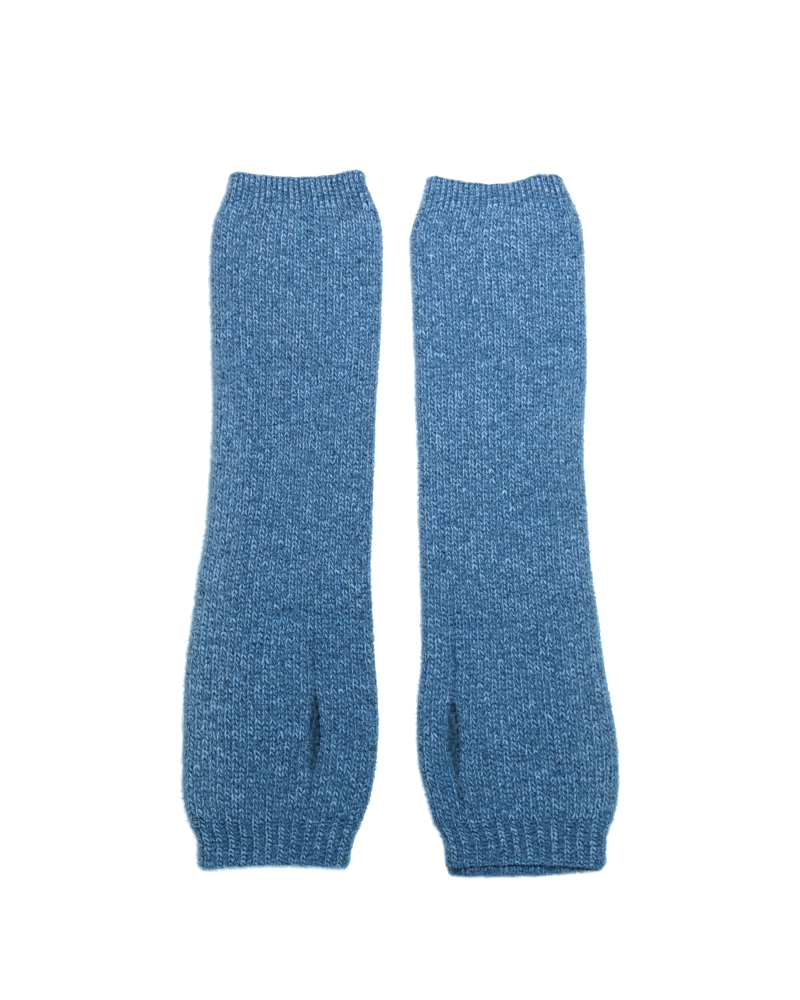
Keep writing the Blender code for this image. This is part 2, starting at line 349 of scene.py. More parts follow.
class HaloSizes(bpy.types.PropertyGroup):
    """Numbers of the loose fibres."""

    lying: count_setting(
        "Lying fibres", "Short fibres that lie along the stitches of each warmer", 5800
    )
    curly: count_setting("Curly fibres", "Longer fibres that curl over each warmer", 1400)
    folds: count_setting(
        "Fold fibres", "Fibres that soften the two side folds of each warmer", 12200
    )
    flanks: count_setting(
        "Flank fibres", "Fibres on the outer flank of each warmer, inside its fold", 4200
    )
    hems: count_setting("Hem fibres", "Shorter fibres round the two mouths of each warmer", 4700)
    slit: count_setting("Slit fibres", "Fibres that cross each thumb slit", 340)
    strays: count_setting("Strays", "Long stray fibres on each warmer", 70)


class WoolColours(bpy.types.PropertyGroup):
    """Colours of the heathered wool, with the painted highlight and the painted shade laid over
    it.
    """

    # Painted highlight: the crowns of the stitches are paler, mixed with random pale flecks
    light: colour_setting(
        "Light blue", "Pale fibres on the crowns of the stitches", (0.322, 0.446, 0.570)
    )
    teal: colour_setting(
        "Teal blue", "The greener of the two middle blues in the mix", (0.134, 0.326, 0.545)
    )
    violet: colour_setting(
        "Violet blue", "The redder of the two middle blues in the mix", (0.174, 0.322, 0.565)
    )
    # Painted shade: the wool deep between the stitches, where shade falls, is darker
    dark: colour_setting("Dark blue", "Fibres deep between the stitches", (0.007, 0.062, 0.176))
    # Painted shade: the backing cloth that shows in the gaps between the stitches is near black
    deepest: colour_setting(
        "Deepest blue", "Darkest specks of the backing cloth", (0.004, 0.030, 0.082)
    )
    # Painted shade: the colours darken towards the hand end, where the light falls off
    hand_tint: colour_setting(
        "Hand tint",
        "What the colours are multiplied by at the hand end, 1 for no change",
        (0.75, 0.95, 1.0),
    )
    # Painted shade: the inside of the warmers, seen through the slit and the mouths, is near
    # black
    inside: colour_setting("Inside blue", "Dense wool inside the warmers", (0.004, 0.025, 0.052))
    halo: colour_setting("Halo blue", "Loose fibres that catch the light", (0.27, 0.46, 0.64))
    # Painted sheen: the fibres along the folds are paler, for the sheen of fuzz seen edge-on
    fringe: colour_setting(
        "Fringe blue", "Paler fibres, which stand out round the outline", (0.47, 0.65, 0.78)
    )
    # Painted light: the hem fibres, which lie in shade, are the palest of all
    palest: colour_setting(
        "Palest blue", "The palest fibres of all, round the hems", (0.71, 0.81, 0.85)
    )


class StageSizes(bpy.types.PropertyGroup):
    """Sizes of the floor, lights and camera."""

    floor_side: length_setting("Floor side", "Side of the pale square floor", 6.0)
    key_power: number_setting(
        "Key power", "Power of the large soft lamp past the forearm cuffs", 6.65
    )
    sky_strength: number_setting(
        "Sky strength", "Strength of the even white light from all round", 0.22
    )
    floor_glow: number_setting(
        "Floor glow", "How much light the floor itself gives, as a light table does", 0.9
    )
    camera_height: length_setting(
        "Camera height", "Height of the camera straight above the pair", 1.3889
    )
    camera_shift: length_setting(
        "Camera place",
        "How far the camera stands from the origin towards the forearm cuffs",
        0.011,
    )
    lens: number_setting("Lens", "Focal length in millimetres on a 36 mm sensor", 100.0)


def ease(value):
    """A smooth step from 0 to 1."""
    held = np.clip(value, 0.0, 1.0)
    return held * held * (3.0 - 2.0 * held)


def read_sections(warmer, along):
    """Edges and heights at places along the arm, on smooth curves through the rows."""
    rows = np.array(warmer.sections) * MM
    places = rows[:, 0]
    slopes = np.empty_like(rows)
    slopes[1:-1] = (rows[2:] - rows[:-2]) / (places[2:] - places[:-2])[:, None]
    slopes[0] = (rows[1] - rows[0]) / (places[1] - places[0])
    slopes[-1] = (rows[-1] - rows[-2]) / (places[-1] - places[-2])
    row = np.clip(np.searchsorted(places, along) - 1, 0, len(places) - 2)
    step = (places[row + 1] - places[row])[:, None]
    share = (along[:, None] - places[row][:, None]) / step
    start = rows[row]
    end = rows[row + 1]
    rise_start = slopes[row] * step
    rise_end = slopes[row + 1] * step
    values = (
        start
        + rise_start * share
        + (3.0 * (end - start) - 2.0 * rise_start - rise_end) * share**2
        + (2.0 * (start - end) + rise_start + rise_end) * share**3
    )
    return values[:, 1], values[:, 2], values[:, 3], values[:, 4]


def marked(marks, across, along):
    """The strength of the soft marks at points of the warmer."""
    strength = np.zeros_like(across)
    for mark in marks:
        turn = math.radians(mark.turn)
        side = across / MM - mark.across
        rise = along / MM - mark.along
        lengthways = (side * math.cos(turn) + rise * math.sin(turn)) / (mark.length / 2.0)
        sideways = (rise * math.cos(turn) - side * math.sin(turn)) / (mark.width / 2.0)
        strength += mark.strength * np.exp(-(lengthways**4) - sideways**2)
    return strength


def slit_opening(warmer, along):
    """Half the thumb slit's width at places along the arm, a little ragged."""
    slit = warmer.slit
    share = np.clip((along / MM - slit.bottom) / (slit.top - slit.bottom), 0.0, 1.0)
    (wide, slow), (fine, quick) = SLIT_RAGS
    ragged = 1.0 + wide * np.sin(slow * along) + fine * np.sin(quick * along + 1.0)
    return SLIT_HALF_WIDTH * np.sin(math.pi * share) ** 0.7 * ragged


def tube_place(warmer, turn, along, depth, side):
    """Where a share of the way round from the seam lies across the warmer, how high, and
    how far it belongs to the upper layer. side is 1 for what belongs right of the seam."""
    left, right, middle, fold = read_sections(warmer, along)
    radius = fold / 2.0
    width = right - left - fold
    bend = math.pi * radius
    girth = 2.0 * (width + bend)
    walk = np.mod(warmer.slit.share * width + turn * girth, girth)
    across = np.zeros_like(walk)
    height = np.zeros_like(walk)
    layer = np.zeros_like(walk)

    top = walk < width
    layer[top] = 1.0
    reach = np.minimum(walk, width - walk)
    across[top] = (left + radius + walk)[top]
    crown = fold + (middle - fold) * ease(reach / FOLD_EASE)
    crown -= marked(warmer.creases, left + radius + walk, along) * MM
    height[top] = (crown - depth)[top]

    turning = ~top & (walk < width + bend)
    angle = math.pi / 2.0 - (walk - width) / radius
    across[turning] = (right - radius + (radius - depth) * np.cos(angle))[turning]
    height[turning] = (radius + (radius - depth) * np.sin(angle))[turning]
    layer[turning] = ease(0.5 + 0.5 * np.sin(angle))[turning]

    under = ~top & ~turning & (walk < 2.0 * width + bend)
    across[under] = (right - radius - (walk - width - bend))[under]
    height[under] = depth[under]

    returning = ~top & ~turning & ~under
    angle = -math.pi / 2.0 - (walk - 2.0 * width - bend) / radius
    across[returning] = (left + radius + (radius - depth) * np.cos(angle))[returning]
    height[returning] = (radius + (radius - depth) * np.sin(angle))[returning]
    layer[returning] = ease(0.5 + 0.5 * np.sin(angle))[returning]

    bowed = 4.0 * layer * (1.0 - layer) * bpy.context.scene.knit_sizes.fold_inset
    across += np.where(across < (left + right) / 2.0, bowed, -bowed)

    away = np.where(side > 0, np.mod(turn, 1.0), np.mod(1.0 - turn, 1.0)) * girth
    away = np.where(away > girth / 2.0, 0.0, away)
    parted = slit_opening(warmer, along) * np.maximum(0.0, 1.0 - away / SLIT_FADE) ** 2
    across += side * parted
    return across, height, layer


def hem_place(hem, share):
    """The hem's place along the arm at a share of the way from its left to its right."""
    rise = (hem.left + hem.right) / 2.0 - hem.middle
    straight = hem.left + (hem.right - hem.left) * share
    hump = hem.hump_rise * np.exp(-(((share - hem.hump_share) / HUMP_SHARE) ** 2))
    return (straight - 4.0 * rise * share * (1.0 - share) + hump) * MM


def roll_hem(reach, length, depth, radius):
    """Wrap what runs past the hem round it and back inside: how far it then reaches and
    how deep it then lies."""
    turned = np.clip((reach - length) / radius + 1.0, 0.0, math.pi)
    folded_in = np.maximum(0.0, reach - length + radius - math.pi * radius)
    inner = radius - depth
    over = turned > 0.0
    rolled_reach = np.where(over, length - radius + inner * np.sin(turned) - folded_in, reach)
    sink = FOLD_SINK * ease(folded_in / FOLD_SINK_REACH)
    rolled_depth = np.where(over, radius - inner * np.cos(turned) + sink, depth)
    return rolled_reach, rolled_depth


def rib_strength(course):
    """How strongly the ribs show: none in the tube, and fading close to the hems."""
    below = ease(-course / RIB_FADE_COURSES)
    below *= ease((course + HAND_RIB_COURSES) / HAND_END_FADE)
    past = course - TUBE_COURSES
    above = ease(past / RIB_FADE_COURSES)
    above *= ease((FOREARM_RIB_COURSES - past) / FOREARM_END_FADE + FOREARM_END_LEFT)
    return np.where(course < TUBE_COURSES / 2.0, below, above)


def rib_furrow(wale, course):
    """How deep the furrows are: between every second wale in the hand cuff, where the ribs
    are spread open, and between all the wales in the drawn-in forearm cuff."""
    sizes = bpy.context.scene.knit_sizes
    hand = (0.5 - 0.5 * np.cos(math.pi * (wale - 0.5))) * sizes.hand_furrow
    forearm = (0.5 + 0.5 * np.cos(2.0 * math.pi * wale)) ** 2 * sizes.forearm_furrow
    return np.where(course < TUBE_COURSES / 2.0, hand, forearm) * rib_strength(course)


def cuff_lengths(warmer):
    """The mean lengths of the hand cuff and the forearm cuff."""
    hand_middle = (warmer.hand_hem.middle + warmer.hand_hem_under.middle) / 2.0 * MM
    return HAND_RIB_TOP - hand_middle, warmer.forearm_hem.middle * MM - FOREARM_RIB_BOTTOM


def fold_wales(warmer, along):
    """The wales that lie at the very edge of the right and the left fold."""
    left, right, _, fold = read_sections(warmer, along)
    width = right - left - fold
    bend = math.pi * fold / 2.0
    girth = 2.0 * (width + bend)
    right_edge = ((1.0 - warmer.slit.share) * width + bend / 2.0) / girth * WALES
    return right_edge, right_edge + WALES / 2.0


def hand_roll(warmer, wale):
    """The radius of the hand hem's roll: more where the lower layer reaches past the
    upper one and curls up in front of it."""
    right_edge, left_edge = fold_wales(warmer, np.array([HAND_RIB_TOP]))
    wale = np.mod(wale, WALES)
    below = ease((wale - right_edge) / ROLL_FADE_WALES - 0.5)
    below *= ease((left_edge - wale) / ROLL_FADE_WALES - 0.5)
    share = (left_edge - wale) / (left_edge - right_edge)
    past = hem_place(warmer.hand_hem, share) - hem_place(warmer.hand_hem_under, share)
    return HEM_ROLL + HEM_CURL * past * below


def wave_height(waves, course, wale):
    """The sum of slow waves at points of the knitting."""
    return sum(
        wave.height * np.sin(wave.by_course * course + wave.by_wale * wale + wave.start)
        for wave in waves
    )


def course_place(warmer, wale, course, depth):
    """Where courses lie along the arm, as the place, the shares of the way through the
    hand cuff and the forearm cuff, and the depth once the hems are rolled over."""
    share = np.clip(course / TUBE_COURSES, 0.0, 1.0)
    length = FOREARM_RIB_BOTTOM - HAND_RIB_TOP
    plain = HAND_RIB_TOP + length * (1.0 - COURSE_RATIO**share) / (1.0 - COURSE_RATIO)
    hand_length, forearm_length = cuff_lengths(warmer)
    reach = np.maximum(0.0, -course) / HAND_RIB_COURSES * hand_length
    reach, depth = roll_hem(reach, hand_length, depth, hand_roll(warmer, wale))
    to_hand = reach / hand_length
    reach = np.maximum(0.0, course - TUBE_COURSES) / FOREARM_RIB_COURSES * forearm_length
    reach, depth = roll_hem(reach, forearm_length, depth, HEM_ROLL)
    to_forearm = reach / forearm_length
    along = plain - to_hand * hand_length + to_forearm * forearm_length
    return along, to_hand, to_forearm, depth


def knit_place(warmer, wale, course, depth, side):
    """Points of the knitting: wales round from the seam, courses up from the hand rib
    and a depth below the crowns of the stitches. Also how deep each point has sunk."""
    sizes = bpy.context.scene.knit_sizes
    from_seam = np.minimum(np.mod(wale, WALES), WALES - np.mod(wale, WALES))
    settled = np.clip(from_seam / SEAM_STEADY, 0.0, 1.0)
    wander = wave_height(WANDER, course, wale)
    fade = LIFT_FADE_COURSES
    inside = ease(course / fade) * ease((TUBE_COURSES - course) / fade)
    course = course + wave_height(LIFT, course, wale) * inside * settled

    rib = rib_strength(course)
    hand_end = course < TUBE_COURSES / 2.0
    furrow = rib_furrow(wale, course)
    spread = np.where(hand_end, HAND_RIB_SPREAD, FOREARM_RIB_SPREAD) * rib / math.pi
    warped = wale + wander * settled * (1.0 - RIB_STEADY * rib)
    warped = warped + spread * np.sin(math.pi * (wale - 0.5))
    turn = warped / WALES

    nominal, to_hand, to_forearm, depth = course_place(warmer, wale, course, depth)
    seam = np.exp(-((from_seam / SEAM_WIDTH) ** 2)) * sizes.seam_depth
    shown = ease((SEAM_TOP - nominal) / SEAM_TOP_FADE)
    shown *= ease((nominal - SEAM_BOTTOM) / SEAM_BOTTOM_FADE)
    seam *= SEAM_FAINT + (1.0 - SEAM_FAINT) * shown
    sunk = furrow + seam
    across, height, layer = tube_place(warmer, turn, nominal, depth + sunk, side)

    left, right, _, _ = read_sections(warmer, nominal)
    place = np.clip((across - left) / (right - left), 0.0, 1.0)
    round_once = 2.0 * math.pi * wale / WALES
    wave = np.sin(HEM_RIPPLES * round_once)
    wave = HEM_WAVE * (wave + SWELL_SHARE * np.sin(HEM_SWELLS * round_once + 1.0))
    corner = np.clip(1.0 - np.minimum(across - left, right - across) / CORNER_REACH, 0.0, 1.0)
    wave = wave - CORNER_DROP * corner**2
    upper = hem_place(warmer.hand_hem, place)
    under = hem_place(warmer.hand_hem_under, place)
    hand = under + (upper - under) * layer - wave
    hand_middle = HAND_RIB_TOP - cuff_lengths(warmer)[0]
    along = nominal + to_hand * (hand - hand_middle)
    forearm = hem_place(warmer.forearm_hem, place) + wave
    along = along + to_forearm * (forearm - warmer.forearm_hem.middle * MM)
    return np.stack((across, along, height), axis=1), sunk


def course_at(along):
    """The whole course nearest to a place along the tube."""
    done = (along - HAND_RIB_TOP) / (FOREARM_RIB_BOTTOM - HAND_RIB_TOP)
    share = math.log(1.0 - done * (1.0 - COURSE_RATIO)) / math.log(COURSE_RATIO)
    return round(share * TUBE_COURSES)


def under_wales(warmer):
    """The wales where the underside starts and ends, counted round from the seam."""
    right_edge, left_edge = fold_wales(warmer, np.array([0.0]))
    return round(right_edge[0] + UNDER_MARGIN), round(left_edge[0] - UNDER_MARGIN)


def points_of(mesh):
    """The mesh's points as rows of three numbers."""
    points = np.empty(len(mesh.vertices) * 3, np.float32)
    mesh.vertices.foreach_get("co", points)
    return points.reshape(-1, 3).astype(float)


def set_points(mesh, points):
    """Move the mesh's points."""
    mesh.vertices.foreach_set("co", points.astype(np.float32).ravel())
    mesh.update()


def add_tone(mesh, name, values):
    """Give each point a number that the materials read."""
    tone = mesh.attributes.new(name, "FLOAT", "POINT")
    tone.data.foreach_set("value", values.astype(np.float32))


def show_piece(name, mesh, material):
    """Link a finished mesh as a piece of the object."""
    mesh.name = name
    mesh.shade_smooth()
    mesh.materials.clear()
    mesh.materials.append(material)
    piece = bpy.data.objects.new(name, mesh)
    bpy.context.scene.collection.objects.link(piece)
    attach(piece, BODY)
    return piece


def array_mesh(shape, across, along):
    """The joined mesh of a flat array of one small shape, a step of 1 each way."""
    data = bpy.data.meshes.new("array")
    shape.to_mesh(data)
    shape.free()
    source = bpy.data.objects.new("array", data)
    bpy.context.scene.collection.objects.link(source)
    for count, step in ((across, (1.0, 0.0, 0.0)), (along, (0.0, 1.0, 0.0))):
        array = source.modifiers.new("array", "ARRAY")
        array.count = count
        array.use_relative_offset = False
        array.use_constant_offset = True
        array.constant_offset_displace = step
    graph = bpy.context.evaluated_depsgraph_get()
    joined = bpy.data.meshes.new_from_object(source.evaluated_get(graph))
    bpy.data.objects.remove(source, do_unlink=True)
    bpy.data.meshes.remove(data)
    return joined


# A leg of a stitch: its two ends in wales and courses, and its half width and height as
# shares of the yarn's
Leg = namedtuple("Leg", "start end wide high")

PLAIN_LEGS = (
    Leg((0.17, -0.12), (0.37, 1.12), 1.0, 1.0),
    Leg((0.90, -0.06), (0.54, 1.00), 1.0, 1.0),
)
HAND_KNIT_LEGS = (
    Leg((0.15, -0.14), (0.38, 1.14), 1.10, 1.10),
    Leg((0.92, -0.02), (0.50, 0.98), 1.30, 1.30),
)
HAND_PURL_LEGS = (
    Leg((0.16, 0.02), (0.50, 0.76), 1.15, 1.00),
    Leg((0.86, -0.04), (0.54, 0.70), 1.15, 0.95),
)
FOREARM_KNIT_LEGS = (
    Leg((0.25, -0.16), (0.44, 1.12), 1.35, 1.1),
    Leg((0.80, -0.10), (0.56, 1.04), 1.30, 1.05),
)
FOREARM_PURL_LEGS = (
    Leg((0.27, -0.10), (0.44, 1.10), 1.35, 1.05),
    Leg((0.78, 0.00), (0.56, 1.06), 1.30, 1.0),
)
EDGE_LEGS = (
    Leg((0.05, -0.45), (0.34, 1.10), 1.9, 1.1),
    Leg((0.95, -0.35), (0.66, 1.06), 1.9, 1.05),
)
RIGHT_LIP_LEGS = (Leg((0.02, 0.0), (0.32, 0.90), 1.1, 1.2),)
LEFT_LIP_LEGS = (Leg((0.98, 0.0), (0.68, 0.90), 1.1, 1.2),)


def stitch_shape(legs, rings):
    """One stitch as small closed beads, in wales across, courses along and metres up."""
    sizes = bpy.context.scene.knit_sizes
    shape = bmesh.new()
    for leg in legs:
        start = Vector((leg.start[0] * STITCH_WALE, leg.start[1] * STITCH_COURSE, 0.0))
        end = Vector((leg.end[0] * STITCH_WALE, leg.end[1] * STITCH_COURSE, 0.0))
        reach = end - start
        made = bmesh.ops.create_uvsphere(shape, u_segments=4, v_segments=rings + 1, radius=1.0)
        size = Matrix.Diagonal(
            (
                sizes.yarn_half_width * leg.wide,
                reach.length / 2.0,
                sizes.yarn_half_height * leg.high,
                1.0,
            )
        )
        lie = Matrix.Rotation(math.pi / 2.0, 4, "X")
        aim = Matrix.Rotation(math.atan2(-reach.x, reach.y), 4, "Z")
        place = Matrix.Translation((start + end) / 2.0)
        bmesh.ops.transform(shape, verts=made["verts"], matrix=place @ aim @ size @ lie)
    squeeze = Matrix.Diagonal((1.0 / STITCH_WALE, 1.0 / STITCH_COURSE, 1.0, 1.0))
    bmesh.ops.transform(shape, verts=shape.verts, matrix=squeeze)
    return shape


def slipped_courses(wale, course):
    """How far each wale's stitches slip past their neighbours', in courses."""
    seed = bpy.context.scene.knit_sizes.seed
    phases = np.random.default_rng(seed).random((WALES, 3)) * 2.0 * math.pi
    own = phases[np.mod(wale, WALES).astype(int)]
    quick = SLIP_QUICK[0] * np.sin(course / SLIP_QUICK[1] + own[:, 0])
    slow = SLIP_SLOW[0] * np.sin(course / SLIP_SLOW[1] + own[:, 1])
    return quick + slow + SLIP_STILL * np.sin(own[:, 2])


def lay_stitches(name, warmer, legs, rings, wales, courses, material, squash=1.0):
    """A field of stitches, wrapped on the warmer. wales is the first one, their number
    and the step between them, and courses is the first one and their number."""
    sizes = bpy.context.scene.knit_sizes
    first_wale, wale_count, wale_step = wales
    first_course, course_count = courses
    shape = stitch_shape(legs, rings)
    per_stitch = len(shape.verts)
    per_leg = per_stitch // len(legs)
    mesh = array_mesh(shape, wale_count, course_count)
    points = points_of(mesh)
    total = wale_count * course_count
    column = np.tile(np.repeat(np.arange(wale_count), per_stitch), course_count)
    row = np.repeat(np.arange(course_count), wale_count * per_stitch)

    chance = np.random.default_rng(sizes.seed + total)
    legs_in_all = total * len(legs)
    middle = points.reshape(legs_in_all, per_leg, 3)
    centre = middle.mean(axis=1, keepdims=True)
    grown = 1.0 + UNEVEN_SIZE * chance.standard_normal((legs_in_all, 1, 1))
    tilt = UNEVEN_TILT * chance.standard_normal((legs_in_all, 1))
    shifted = UNEVEN_WALE * chance.standard_normal((legs_in_all, 1))
    local = (middle - centre) * grown
    middle = centre + local
    middle[:, :, 0] += tilt * local[:, :, 1] + shifted
    middle[:, :, 1] += UNEVEN_COURSE * chance.standard_normal((legs_in_all, 1))
    middle[:, :, 2] += UNEVEN_DEPTH * chance.standard_normal((legs_in_all, 1))
    points = middle.reshape(-1, 3)

    home = first_wale + column * wale_step
    wale = home + (points[:, 0] - column)
    course = first_course + points[:, 1] + slipped_courses(home, first_course + row)
    side = np.where(np.mod(home, WALES) < WALES / 2, 1.0, -1.0)
    seam_side = np.where(side > 0, np.floor(home / WALES) * WALES, 0.0)
    wale = np.where((side > 0) & (wale < seam_side), seam_side + SEAM_GAP, wale)
    next_seam = np.ceil((home + 1) / WALES) * WALES
    too_far = (side < 0) & (wale > next_seam - SEAM_GAP / 2.0)
    wale = np.where(too_far, next_seam - SEAM_GAP, wale)

    crown = sizes.yarn_half_height * CROWN_SHARE
    arch = -ARCH_FALL * ((points[:, 1] - row) - ARCH_TOP) ** 2
    depth = crown - (points[:, 2] + arch) * squash
    depth = np.maximum(depth - STITCH_RAISE, LEAST_DEPTH)
    made, sunk = knit_place(warmer, wale, course, depth, side)
    set_points(mesh, made)
    # Painted light and shade: the marks make the wool paler where light falls and darker in the
    # creases and shadows
    lit_and_shaded = marked(warmer.nap, made[:, 0], made[:, 1])
    add_tone(mesh, "tone", np.repeat(chance.random(legs_in_all), per_leg) + lit_and_shaded)
    # Painted shade and highlight: rise falls with depth below the crowns and with sinking into
    # furrows and the seam; the wool is painted darker there and paler on the crowns
    rise = 1.0 - (depth + SUNK_SHADE * sunk) / sizes.cloth_depth
    add_tone(mesh, "rise", np.clip(rise, 0.0, 1.0))
    return show_piece(name, mesh, material)


# Sockets of a colour Mix node: its share, its two colours and its result
MIX_SHARE, MIX_FIRST, MIX_SECOND, MIX_RESULT = 0, 6, 7, 2

WHITE = (1.0, 1.0, 1.0)
SHEEN_BLUE = (0.45, 0.74, 1.0, 1.0)
# How far the painted shade towards the hand end reaches either way from the middle
HAND_SHADE_REACH = 150.0 * MM
PATCH_SIZE = 95.0
FLECK_SIZE = 2100.0
FUZZ_SIZE = 1500.0
FLECK_FACTOR, FLECK_OFFSET = 1.9, -0.97
TONE_FACTOR, TONE_OFFSET = 0.22, -0.11

# The values between which the wool goes from teal to violet, from the painted shade deep
# among the stitches to those two, and on to the painted highlight and pale flecks on the
# crowns
PATCH_RAMP = (0.38, 0.62)
DEEP_RAMP = (0.40, 0.75)
PALE_RAMP = (0.69, 1.26)


def new_material(name, roughness, specular):
    """A material with its shader's gloss set, and two small helpers that add a node and
    link two sockets in it."""
    material = bpy.data.materials.new(name)
    material.use_nodes = True
    tree = material.node_tree
    shader = tree.nodes["Principled BSDF"]
    shader.inputs["Roughness"].default_value = roughness
    shader.inputs["Specular IOR Level"].default_value = specular

    def add(kind, place, **values):
        node = tree.nodes.new(kind)
        node.location = place
        for key, value in values.items():
            if hasattr(node, key):
                setattr(node, key, value)
            else:
                node.inputs[key].default_value = value
        return node

    def link(source, target):
        tree.links.new(source, target)

    return material, shader, add, link


def add_ramp(add, link, place, source, low, high):
    """A number spread out to go from 0 at its low value to 1 at its high one."""
    ramp = add("ShaderNodeMapRange", place)
    ramp.inputs["From Min"].default_value = low
    ramp.inputs["From Max"].default_value = high
    link(source, ramp.inputs["Value"])
    return ramp.outputs["Result"]


def add_mix(add, link, place, share, first, second):
    """A mix of two colours, each of them a fixed colour or a socket."""
    mix = add("ShaderNodeMix", place, data_type="RGBA")
    link(share, mix.inputs[MIX_SHARE])
    for slot, colour in ((MIX_FIRST, first), (MIX_SECOND, second)):
        if isinstance(colour, bpy.types.NodeSocket):
            link(colour, mix.inputs[slot])
        else:
            mix.inputs[slot].default_value = (*colour, 1.0)
    return mix.outputs[MIX_RESULT]


def add_bump(add, link, source, strength, distance, shader):
    """Bumps on the surface where a texture is high."""
    bump = add("ShaderNodeBump", (-250, -500), Strength=strength, Distance=distance)
    link(source, bump.inputs["Height"])
    link(bump.outputs["Normal"], shader.inputs["Normal"])


def shade_hand_end(add, link, place, colour, shader):
    """Darken a colour gently towards the hand cuffs, as painted shade where the light falls off,
    and give it to the shader.
    """
    tint = bpy.context.scene.wool_colours.hand_tint
    parts = add("ShaderNodeSeparateXYZ", (50, 500))
    link(place.outputs["Object"], parts.inputs[0])
    rise = add_ramp(add, link, (200, 500), parts.outputs["Y"], -HAND_SHADE_REACH, HAND_SHADE_REACH)
    shade = add_mix(add, link, (350, 500), rise, tint, WHITE)
    product = add("ShaderNodeMix", (500, 300), data_type="RGBA", blend_type="MULTIPLY")
    product.inputs[MIX_SHARE].default_value = 1.0
    link(colour, product.inputs[MIX_FIRST])
    link(shade, product.inputs[MIX_SECOND])
    link(product.outputs[MIX_RESULT], shader.inputs["Base Color"])


def spread_out(add, link, place, source, factor, offset):
    """A number times a factor, plus an offset."""
    spread = add("ShaderNodeMath", place, operation="MULTIPLY_ADD")
    spread.inputs[1].default_value = factor
    spread.inputs[2].default_value = offset
    link(source, spread.inputs[0])
    return spread.outputs[0]


def wool_material(name):
    """Heathered wool: two middle blues in soft patches, a painted highlight and random pale
    flecks on the crowns and painted shade in the gaps, with a sheen that softens its edges."""
    colours = bpy.context.scene.wool_colours
    material, shader, add, link = new_material(name, 0.92, 0.08)
    shader.inputs["Sheen Weight"].default_value = 0.15
    shader.inputs["Sheen Roughness"].default_value = 0.5
    shader.inputs["Sheen Tint"].default_value = SHEEN_BLUE

    def noise(place, scale, detail, roughness):
        texture = add(
            "ShaderNodeTexNoise", place, Scale=scale, Detail=detail, Roughness=roughness
        )
        link(position.outputs["Object"], texture.inputs["Vector"])
        return texture.outputs["Fac"]

    position = add("ShaderNodeTexCoord", (-1500, 0))
    patches = noise((-1300, 300), PATCH_SIZE, 3.0, 0.6)
    patch_share = add_ramp(add, link, (-1100, 300), patches, *PATCH_RAMP)
    middle = add_mix(add, link, (-900, 300), patch_share, colours.teal, colours.violet)

    fleck = noise((-1300, 0), FLECK_SIZE, 1.0, 0.6)
    rise = add("ShaderNodeAttribute", (-1300, -250), attribute_name="rise")
    tone = add("ShaderNodeAttribute", (-1300, -450), attribute_name="tone")
    height = rise.outputs["Fac"]
    paler = tone.outputs["Fac"]
    parts = (
        spread_out(add, link, (-1050, -150), fleck, FLECK_FACTOR, FLECK_OFFSET),
        spread_out(add, link, (-1050, -350), paler, TONE_FACTOR, TONE_OFFSET),
    )
    for part, place in zip(parts, ((-850, -200), (-650, -200))):
        total = add("ShaderNodeMath", place, operation="ADD")
        link(part, total.inputs[0])
        link(height, total.inputs[1])
        height = total.outputs[0]

    # Painted shade where the height is low, deep among the stitches, and a painted highlight
    # where it is high, on the crowns
    deep = add_ramp(add, link, (-450, -100), height, *DEEP_RAMP)
    from_dark = add_mix(add, link, (-250, 200), deep, colours.dark, middle)
    pale = add_ramp(add, link, (-450, -400), height, *PALE_RAMP)
    to_light = add_mix(add, link, (-50, 200), pale, from_dark, colours.light)
    shade_hand_end(add, link, position, to_light, shader)
    add_bump(add, link, noise((-650, -650), FUZZ_SIZE, 3.0, 0.7), 0.8, 0.4 * MM, shader)
    return material


# Wool without stitches, painted near black as shade, for the backing cloth in the gaps and
# the warmers' inside: how its flecks are drawn out, their scale and roughness, the values
# between which they go from the painted shade to teal, how deep they are and whether it
# also gets the painted shade towards the hand end
Dense = namedtuple("Dense", "stretch scale roughness low high depth tinted")

INSIDE = Dense((1.0, 0.22, 1.0), 1500.0, 0.5, 0.48, 1.50, 0.4 * MM, False)
BACKING = Dense((1.0, 1.0, 1.0), 1100.0, 0.6, 0.42, 0.85, 0.3 * MM, True)


def shaded_wool_material(name, darkest, kind):
    """Wool without stitches, for the backing cloth and the warmers' inside, coloured near black
    as painted shade.
    """
    colours = bpy.context.scene.wool_colours
    material, shader, add, link = new_material(name, 0.95, 0.1)
    place = add("ShaderNodeTexCoord", (-1300, 0))
    stretch = add("ShaderNodeMapping", (-1100, 0))
    stretch.inputs["Scale"].default_value = kind.stretch
    link(place.outputs["Object"], stretch.inputs["Vector"])
    fleck = add(
        "ShaderNodeTexNoise", (-900, 100), Scale=kind.scale, Detail=2.0, Roughness=kind.roughness
    )
    link(stretch.outputs["Vector"], fleck.inputs["Vector"])
    share = add_ramp(add, link, (-700, 100), fleck.outputs["Fac"], kind.low, kind.high)
    colour = add_mix(add, link, (-400, 100), share, darkest, colours.teal)
    if kind.tinted:
        shade_hand_end(add, link, place, colour, shader)
    else:
        link(colour, shader.inputs["Base Color"])
    add_bump(add, link, fleck.outputs["Fac"], 0.6, kind.depth, shader)
    return material


def fibre_material(name, darker, paler):
    """Loose wool fibres, paler than the yarn; the fold and hem fibres are paler still, as
    painted sheen and painted light.
    """
    material, shader, add, link = new_material(name, 0.8, 0.2)
    tone = add("ShaderNodeAttribute", (-600, 0), attribute_name="tone")
    place = add("ShaderNodeTexCoord", (-600, 400))
    colour = add_mix(add, link, (-300, 0), tone.outputs["Fac"], darker, paler)
    shade_hand_end(add, link, place, colour, shader)
    return material


def ready_material(name, maker, *values):
    """A material by name, made the first time it is asked for."""
    return bpy.data.materials.get(name) or maker(name, *values)


# Rows of the backing cloth, the shares of them at which the hems begin, how many courses
# before the hems that is, and how much nearer the crowns the cloth lies there
CLOTH_ROWS = 82
CLOTH_SHARES = (0.0, 0.14, 0.86, 1.0)
CLOTH_HEM_START = 0.5
CLOTH_HEM_FADE = 0.5
CLOTH_HEM_SHARE = 0.5
WELD = 0.02 * MM


